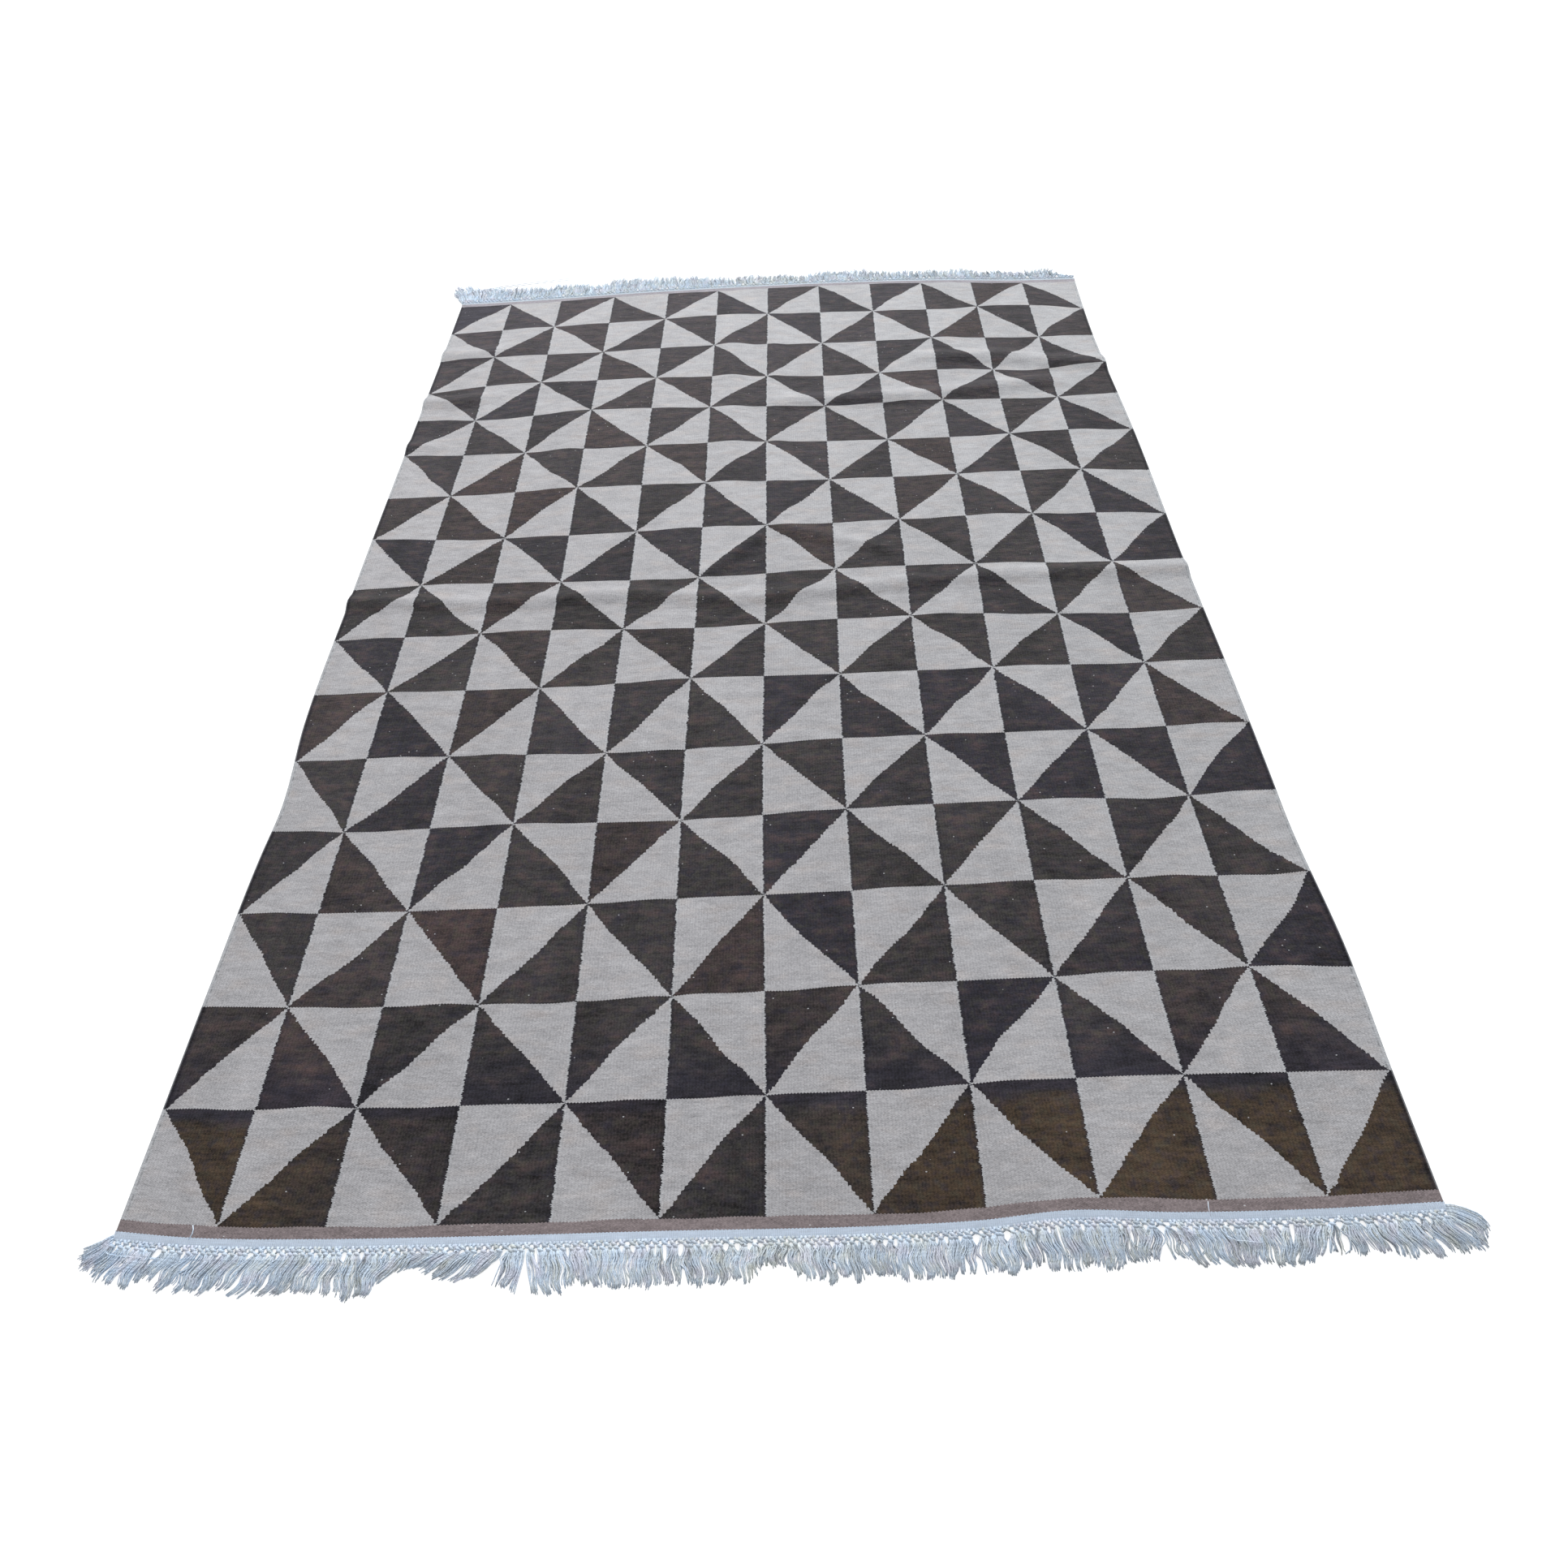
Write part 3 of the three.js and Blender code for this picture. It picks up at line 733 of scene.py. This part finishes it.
NEAR_PARTINGS = (
    # across, from, to, half as wide
    (-756, 30, 39, 2.0), (-725, 15, 35, 3.2), (-691, 15, 29, 2.2), (-673, 16, 37, 2.2),
    (-649, 16, 23, 1.5), (-612, 16, 22, 2.3), (-576, 15, 25, 1.8), (-566, 15, 21, 1.3),
    (-530, 32, 38, 1.2), (-499, 16, 25, 1.8), (-475, 15, 25, 1.5), (-476, 33, 70, 3.4),
    (-408, 14, 18, 2.2), (-369, 14, 19, 2.6), (-358, 14, 18, 2.0), (-325, 15, 20, 1.4),
    (-304, 24, 70, 2.2), (-281, 15, 70, 2.6), (-269, 15, 36, 2.2), (-259, 15, 23, 1.5),
    (-232, 15, 27, 2.4), (-206, 15, 26, 1.2), (-195, 15, 22, 1.5), (-154, 15, 26, 2.2),
    (-137, 15, 23, 1.6), (-128, 15, 28, 1.6), (-117, 15, 37, 2.6), (-100, 15, 31, 1.7),
    (-97, 34, 70, 2.6), (-73, 15, 21, 1.5), (-47, 14, 24, 2.4), (-31, 14, 25, 2.4), (-20, 15, 22, 1.5),
    (-17, 29, 36, 1.4), (-3, 14, 18, 1.8), (59, 15, 24, 1.3), (77, 15, 21, 2.1), (80, 36, 47, 1.5),
    (108, 38, 70, 2.6), (129, 15, 20, 1.4), (139, 15, 23, 2.0), (173, 15, 22, 1.6), (182, 15, 22, 2.1),
    (200, 14, 24, 2.0), (226, 14, 19, 1.7), (243, 14, 23, 2.0), (254, 14, 20, 1.9), (248, 36, 70, 3.4),
    (280, 15, 27, 2.5), (313, 14, 24, 1.9), (331, 14, 26, 2.0), (340, 15, 50, 1.8), (370, 13, 25, 2.8),
    (404, 14, 20, 1.4), (424, 21, 39, 2.4), (412, 32, 70, 1.6), (441, 13, 17, 2.4), (460, 32, 70, 5.0),
    (456, 14, 20, 1.4), (476, 13, 19, 2.3), (476, 33, 45, 2.0), (495, 27, 43, 1.7), (512, 13, 19, 1.6),
    (542, 13, 21, 1.8), (574, 13, 23, 2.6), (598, 14, 19, 1.5), (609, 14, 42, 2.8), (651, 24, 70, 4.2),
    (661, 12, 18, 3.0), (666, 28, 46, 2.1), (691, 13, 25, 2.0), (716, 13, 20, 2.2), (752, 13, 24, 3.2),
    (753, 30, 40, 1.6),
)
FAR_LOCKS = (
    # across, sweep, reach
    (-810, -32, 88), (-790, -21, 90), (-778, -9, 66), (-765, -4, 58), (-735, 0, 54), (-700, 0, 58),
    (-640, 2, 48), (-600, 4, 52), (-520, 4, 56), (-464, 0, 38), (-430, 0, 44), (-405, 0, 66),
    (-380, 2, 52), (-340, 2, 56), (-280, 2, 62), (-240, 2, 56), (-218, 0, 38), (-190, 0, 50),
    (-155, 2, 39), (-80, 0, 30), (-55, 0, 39), (0, 2, 38), (70, 0, 30), (95, 0, 24), (150, 4, 46),
    (200, 4, 42), (240, 2, 50), (280, 2, 42), (340, 0, 32), (360, 0, 36), (400, 0, 26), (450, 2, 36),
    (480, 2, 32), (520, 4, 46), (580, 0, 24), (620, 0, 32), (650, 0, 20), (690, -2, 28), (735, 2, 36),
    (766, 0, 17), (785, 0, 7), (803, -2, 2),
)

# Yarns of each band's corners, which leave its cut end sideways. Curl bends them back along the warps.
CORNERS = {
    "near": (
        # side, out, sweep, reach, curl
        (-1, 4.0, -30, 17, 1.0), (-1, 7.5, -29, 20, 1.0), (-1, 11.0, -26, 23, 1.0), (-1, 14.0, -22, 27, 1.0),
        (1, 4.0, 35, 21, 1.8), (1, 7.0, 36, 24, 1.7), (1, 10.0, 34, 28, 1.6), (1, 13.0, 31, 31, 1.5),
        (1, 15.0, 27, 31, 1.3),
    ),
    "far": ((-1, 5.0, -33, 62, 1.0), (-1, 10.0, -33, 74, 1.0), (-1, 14.0, -29, 84, 1.0)),
}

# Loose threads that lie on the near end: their places across and along, and their heights.
LOOSE_THREADS = (
    ((-691.5, -1171, 3.9), (-689, -1176, 4.2), (-688.5, -1181, 4.2), (-691, -1187, 3.6)),
    ((520.5, -1172, 3.9), (519.5, -1177, 4.2), (519, -1182, 4.2), (519.5, -1188, 3.4)),
    ((478, -1193, 4.4), (483, -1201, 5.4), (494, -1208, 5.8), (503, -1207, 5.8), (504, -1199, 5.2)),
    ((531, -1211, 5.6), (541, -1216, 6.0), (556, -1217.5, 6.0), (570, -1219, 5.6)),
)
LOOSE_RADIUS = 0.6

# The one white yarn in a copy for each end: their brightness is painted light and shade, set for how each
# end is lit; the far one is also a little bluer.
YARN_WHITE_PAINTED_PER_END = {"near": dye(180, 193, 206), "far": dye(182, 198, 212)}
YARN_CREAM = dye(190, 194, 186)
YARN_BLUE = dye(172, 192, 214)
YARN_PINK = dye(188, 190, 203)
PLY_PITCH = 4.2
CREAM_REACH = 0.12


def mesh_piece(name, points, faces, maps, smooth):
    """A piece of points and faces, with named maps of two values for each corner of each face."""
    mesh = bpy.data.meshes.new(name)
    mesh.from_pydata(points, [], faces)
    for map_name, values in maps.items():
        mesh.uv_layers.new(name=map_name).data.foreach_set("uv", np.array(values).ravel())
    mesh.polygons.foreach_set("use_smooth", np.full(len(faces), smooth))
    mesh.update()
    piece = bpy.data.objects.new(name, mesh)
    bpy.context.scene.collection.objects.link(piece)
    return piece


class Strands:
    """Tubes that are gathered into one mesh, with a map round and along each, and one of its own number."""

    def __init__(self):
        self.points = []
        self.faces = []
        self.ply = []
        self.strand = []
        self.count = 0

    def add(self, path, radii, sides, own):
        """A closed tube along a path."""
        ahead = np.gradient(path, axis=0)
        ahead /= np.linalg.norm(ahead, axis=1)[:, None]
        beside = np.stack([ahead[:, 1], -ahead[:, 0], np.zeros(len(path))], axis=-1)
        beside /= np.linalg.norm(beside, axis=1)[:, None]
        above = np.cross(beside, ahead)
        angles = 2 * math.pi * np.arange(sides) / sides
        sideways = np.cos(angles)[None, :, None] * beside[:, None]
        upwards = np.sin(angles)[None, :, None] * above[:, None]
        points = path[:, None] + np.asarray(radii)[:, None, None] * (sideways + upwards)
        length = np.concatenate([[0], np.cumsum(np.linalg.norm(np.diff(path, axis=0), axis=1))]) / MM
        rings = len(path) - 1
        for ring in range(rings):
            for side in range(sides):
                following = (side + 1) % sides
                low = self.count + ring * sides
                high = low + sides
                self.faces.append((low + side, high + side, high + following, low + following))
                for turned, gone in ((0, 0), (0, 1), (1, 1), (1, 0)):
                    self.ply.append(((side + turned) / sides, length[ring + gone]))
                    self.strand.append((own, (ring + gone) / rings))
        first = [self.count + side for side in range(sides)]
        last = [self.count + rings * sides + side for side in range(sides)]
        for ring, face, share in ((0, first, 0.0), (-1, last[::-1], 1.0)):
            self.faces.append(tuple(face))
            self.ply += [(0.0, length[ring])] * sides
            self.strand += [(own, share)] * sides
        self.points.append(points.reshape(-1, 3))
        self.count += len(path) * sides

    def made(self, name):
        """The piece of all that was gathered."""
        points = np.concatenate(self.points).tolist()
        return mesh_piece(name, points, self.faces, {"ply": self.ply, "strand": self.strand}, True)


def corners_of(end):
    """Places across of the cloth's two corners at an end."""
    for side, across in CORNERS_ABOUT.items():
        yield side_at(side, end_at(end, np.array([across])))[0]


def yarn_material(piece, end):
    """Plied white cotton: a slanting ply line, in relief and also painted as faint light and shade, and each
    yarn a little lighter or darker, partly by chance and partly as painted shade.
    """
    shader = material_for(piece, f"{end} plied yarn", 0.9, 0.2)
    around, along = map_of(shader, "ply")
    own, _ = map_of(shader, "strand")
    twist = ((around * 2 + along * (1 / PLY_PITCH)) * (2 * math.pi)).math("SINE")
    mottle = cloudy(joined(own * 40, along * 0.12, around))
    spot = around.node("ShaderNodeTexCoord", output=3)
    right = parts_of(spot)[0] - LOOM_X
    hue = cloudy(spot, 70.0)
    other_hue = cloudy(spot, 45.0)
    cream = between(hue, 0.5, 0.68) + between(right.math("ABSOLUTE"), CREAM_REACH, 0.0)
    blue = between(hue, 0.5, 0.34) + between(right, -0.5, -0.75)
    colour = dyed(YARN_WHITE_PAINTED_PER_END[end], (
        # what it follows, from, to, how strong, colour
        ((own * 7.3).math("FRACT"), 0.72, 1.12, 1.0, YARN_CREAM),
        (cream, 0.0, 2.0, 0.8, YARN_CREAM),
        (blue, 0.0, 2.0, 0.8, YARN_BLUE),
        (other_hue, 0.5, 0.66, 0.7, YARN_PINK),
    ))
    shade = varied(0.98, ((own, 0.7), (mottle, 0.48))) + twist * 0.03
    shade = shade - between(right, 0.05, 0.25) * 0.06 - between(right, 0.3, 0.8) * 0.04
    finish(shader, tint(colour, shade), twist + mottle, 0.25, 0.5 * MM)


def band_piece(end, outward):
    """The white band: a strip of weave past the cloth's last weft, rounded on its outer edge."""
    left, right = corners_of(end)
    stations = np.linspace(left, right, BAND_STATIONS)
    edges = end_at(end, stations)
    points = []
    places = []
    for x, edge, raised in zip(stations, edges, lift(stations, edges)):
        for out, top in zip(BAND_OUTS, BAND_TOPS):
            points.append(placed(x, edge + outward * out, top + raised * (1 - out / BAND_OUT)))
            places.append((x, out))
        for out in BAND_OUTS[::-1]:
            points.append(placed(x, edge + outward * out, 0.0))
            places.append((x, out))
    ring = 2 * len(BAND_OUTS)
    last = (BAND_STATIONS - 1) * ring
    faces = []
    for low in range(0, last, ring):
        high = low + ring
        for corner in range(ring):
            following = (corner + 1) % ring
            faces.append((low + corner, low + following, high + following, high + corner))
    faces.append(tuple(range(ring))[::-1])
    faces.append(tuple(last + corner for corner in range(ring)))
    if outward < 0:
        faces = [face[::-1] for face in faces]
    weave = [places[corner] for face in faces for corner in face]
    piece = mesh_piece(f"{end}_band", [tuple(p) for p in points], faces, {"weave": weave}, False)

    shader = material_for(piece, f"{end} band weave", 0.85, 0.2)
    across, out = map_of(shader, "weave")
    rib = (across * (math.pi / BAND_WARP)).math("SINE").math("ABSOLUTE")
    crossed = (across * (1 / BAND_WARP)).math("FLOOR") * 0.5
    weft = ((out * BAND_WEFTS + crossed) * (2 * math.pi)).math("SINE")
    mottle = cloudy(joined(across * 0.05, out * 0.9))
    white, taupe = (BAND_WHITE, TAUPE) if end == "near" else (BAND_WHITE_FAR_PAINTED_DARKER, TAUPE_FAR)
    # The band's rib term is painted light on the crests of the warp ribs.
    colour = tint(white, varied(0.95, ((mottle, 0.5),)) + rib * 0.08)
    colour = mix(out + end_teeth(across) < 0, colour, taupe)
    finish(shader, colour, rib * 0.25 + weft * 0.12, 0.6, MM)
    return piece


def spaced(chance, left, right, apart):
    """Places across, unevenly spaced."""
    places = [left]
    while places[-1] < right:
        places.append(places[-1] + chance.uniform(*apart))
    return np.array(places)


def knot_places(chance, left, right, partings):
    """Where the knots of the outer row sit: evenly apart, but clear of the partings."""
    count = round((right - left) / KNOT["pitch"])
    places = []
    for x in np.linspace(left, right, count + 1):
        x = x + chance.uniform(-KNOT["stray"], KNOT["stray"])
        for parting, _, _, half in partings:
            clear = SECOND_KNOTS["wide"] / 2 + half - 0.6
            if abs(x - parting) < clear:
                x = parting + math.copysign(clear, x - parting)
        places.append(x)
    return places


def add_knots(gathered, chance, end, outward, places):
    """Two rows of knots, each tied from two legs of the row before it."""
    inner = [(first + second) / 2 for first, second in zip(places[:-1], places[1:])]
    slope = np.linspace(-0.5, 0.5, 4)
    for knots, row in ((FIRST_KNOTS, inner), (SECOND_KNOTS, places)):
        for x in row:
            out = knots["out"] + chance.uniform(-KNOT["out"], KNOT["out"])
            along = float(end_at(end, x)) + outward * out
            body = placed(
                x + slope * knots["wide"] * chance.uniform(*KNOT["wide"]),
                along + outward * slope * chance.uniform(*KNOT["slant"]),
                np.full(4, knots["deep"] / 2),
            )
            thick = np.array(KNOT_SHAPE) * knots["deep"] / 2 * MM
            gathered.add(body, thick, 6, chance.uniform(*KNOT["tone"]))
    for index, x in enumerate(inner):
        edge = float(end_at(end, x))
        for way in (-1, 1):
            from_band = placed(
                x + way * np.array(ROOT["across"]),
                edge + outward * np.array([BAND_OUT - ROOT["under"], BAND_OUT, FIRST_KNOTS["out"]]),
                np.array(ROOT["height"]),
            )
            gathered.add(from_band, [ROOT["thick"] * MM] * 3, 4, chance.uniform(*ROOT["tone"]))
            to_next = places[index + (way > 0)]
            onward = placed(
                np.linspace(x + way * LEG["across"], to_next - way * LEG["across"], 3),
                edge + outward * np.linspace(FIRST_KNOTS["out"], SECOND_KNOTS["out"], 3),
                np.array([LEG["height"], LEG["over"] + LEG["cross"] * way, LEG["height"]]),
            )
            gathered.add(onward, [LEG["thick"] * MM] * 3, 4, chance.uniform(*LEG["tone"]))


def tuft_row(chance, left, right):
    """Where one tuft ends and the next begins, and each tuft's own habits."""
    edges = spaced(chance, left - 8, right + 20, TUFT["wide"])
    tufts = []
    phase = chance.uniform(0, FULL_TURN)
    for _ in edges:
        phase += chance.uniform(-TUFT["turn"], TUFT["turn"])
        tufts.append({
            "ragged": 1 + chance.uniform(-TUFT["ragged"], TUFT["ragged"]),
            "point": chance.uniform(*TUFT["point"]),
            "wave": chance.uniform(*TUFT["wave"]),
            "phase": phase,
            "tone": chance.random(),
        })
    return edges, tufts


def parted(across, out, root, spread, partings):
    """A yarn's course, pushed aside by the partings near it and held clear of them."""
    for parting, start, finish_at, half in partings:
        if abs(spread - parting) < PARTING["near"]:
            way = 1 if root > parting else -1
            along = np.clip((out - start) / (finish_at - start), 0, 1)
            gap = half * (ease(along) if finish_at > OPEN_END else np.sin(math.pi * along**0.8))
            across = across + way * gap * math.exp(-abs(spread - parting) / PARTING["reach"])
            held = parting + way * np.maximum(way * (across - parting), gap + YARN["radius"] * 0.6)
            across = np.where(gap > 0.1, held, across)
    return across


def fringe_piece(end, outward, locks, known_partings, stand, seed):
    """The knots and the yarns of one end."""
    chance = random.Random(seed)
    gathered = Strands()
    left, right = corners_of(end)
    left += KNOTS_IN
    right -= KNOTS_IN
    partings = list(known_partings)
    start = SECOND_KNOTS["out"] - 1
    for x in spaced(chance, left + 6, right - 6, PARTING["apart"]):
        if all(abs(x - known[0]) > PARTING["clear"] for known in known_partings):
            finish_at = start + chance.uniform(*PARTING["long"])
            partings.append((x, start, finish_at, chance.uniform(*PARTING["half"])))
    places = knot_places(chance, left, right, partings)
    add_knots(gathered, chance, end, outward, places)

    tuft_edges, tufts = tuft_row(chance, left, right)
    lock_at, lock_sweep, lock_reach = np.array(locks, float).T
    roots = [(x, SECOND_KNOTS["out"], 0.0, 0.0, 1.0) for x in places]
    for side, out, sweep, reach, curl in CORNERS[end]:
        roots.append((left - 2 if side < 0 else right + 2, out, sweep, reach, curl))
    share = np.linspace(0, 1, YARN["rings"])
    for x, root_out, sweep, reach, curl in roots:
        edge = float(end_at(end, x))
        corner = root_out < SECOND_KNOTS["out"]
        for yarn in range(YARN["each"]):
            part = (yarn + 0.5) / YARN["each"] - 0.5
            room = 0.0 if corner else part * KNOT["pitch"]
            root = x + room * YARN["room"]
            spread = x + room * YARN["fan"] + chance.gauss(0, 0.5)
            if not corner:
                sweep = np.interp(root, lock_at, lock_sweep)
                reach = np.interp(root, lock_at, lock_reach)

            # How far the yarn reaches, most in the middle of its tuft, and how it waves on the way.
            index = int(np.searchsorted(tuft_edges, spread) - 1)
            tuft = tufts[index]
            middle = (tuft_edges[index] + tuft_edges[index + 1]) / 2
            off = abs(spread - middle) / (tuft_edges[index + 1] - tuft_edges[index]) * 2
            own_reach = reach * tuft["ragged"] + tuft["point"] * (0.8 - off) + chance.uniform(-1.2, 1.2)
            run = share * own_reach
            across = root + (spread - root) * ease(share / 0.35)
            across = across + (middle - spread) * TUFT["pull"] * share**3
            wave = np.sin(tuft["phase"] + run * FULL_TURN / TUFT["wavelength"])
            across = across + tuft["wave"] * wave * ease(share * 2)
            across = across + chance.gauss(0, CRIMP["lean"]) * share
            crimp = chance.uniform(*CRIMP["wave"]) * ease(share * 3)
            crimp_from = chance.uniform(0, FULL_TURN)
            wavelength = chance.uniform(*CRIMP["wavelength"])
            across = across + crimp * np.sin(crimp_from + run * FULL_TURN / wavelength)
            if corner:
                across = across + chance.uniform(-3.0, 3.0) * share
                run = reach * share**curl + part * CORNER_ROOM * (0.4 + 1.6 * share)
            out = root_out + run
            if not corner:
                across = parted(across, out, root, spread, partings)
            across = across + sweep * (1 - (1 - share) ** curl if corner else share**SWEEP_BEND)

            # How thick it is, and how high it lies over the yarns below it.
            thick = YARN["radius"] * (1 - share**4) + YARN["tip"] * share**4
            layer = chance.uniform(0, YARN["layer"])
            drape = np.sin(math.pi * np.clip(share * 1.15, 0, 1)) ** 0.7
            rise = chance.uniform(0, stand) * share * min(1.0, reach / SHORT_YARN)
            height = thick + 1.6 * (1 - ease(share / 0.3)) + layer * drape + rise
            # Each yarn's tone is partly chance and partly its tuft's, and it is darker the lower it lies:
            # painted shade from the yarns above it.
            own = 0.35 * chance.random() + 0.25 * tuft["tone"] + 0.4 * layer / YARN["layer"]
            # A few yarns are painted dark: painted shadow between the yarns.
            if chance.random() < PAINTED_SHADOW_SHARE[end]:
                own -= 0.6
            gathered.add(placed(across, edge + outward * out, height), thick * MM, YARN["sides"], own)
    if end == "near":
        for thread in LOOSE_THREADS:
            gathered.add(placed(*np.array(thread, float).T), [LOOSE_RADIUS * MM] * len(thread), 6, 0.9)
    piece = gathered.made(f"{end}_yarns")
    yarn_material(piece, end)
    return piece


for end, outward, locks, known_partings, stand, seed in (
    ("near", -1, NEAR_LOCKS, NEAR_PARTINGS, 0.0, 11),
    ("far", 1, FAR_LOCKS, (), 9.0, 29),
):
    yarns = fringe_piece(end, outward, locks, known_partings, stand, seed)
    for piece in (band_piece(end, outward), yarns):
        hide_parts(f"fringe_{end}")
        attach(piece, "root")
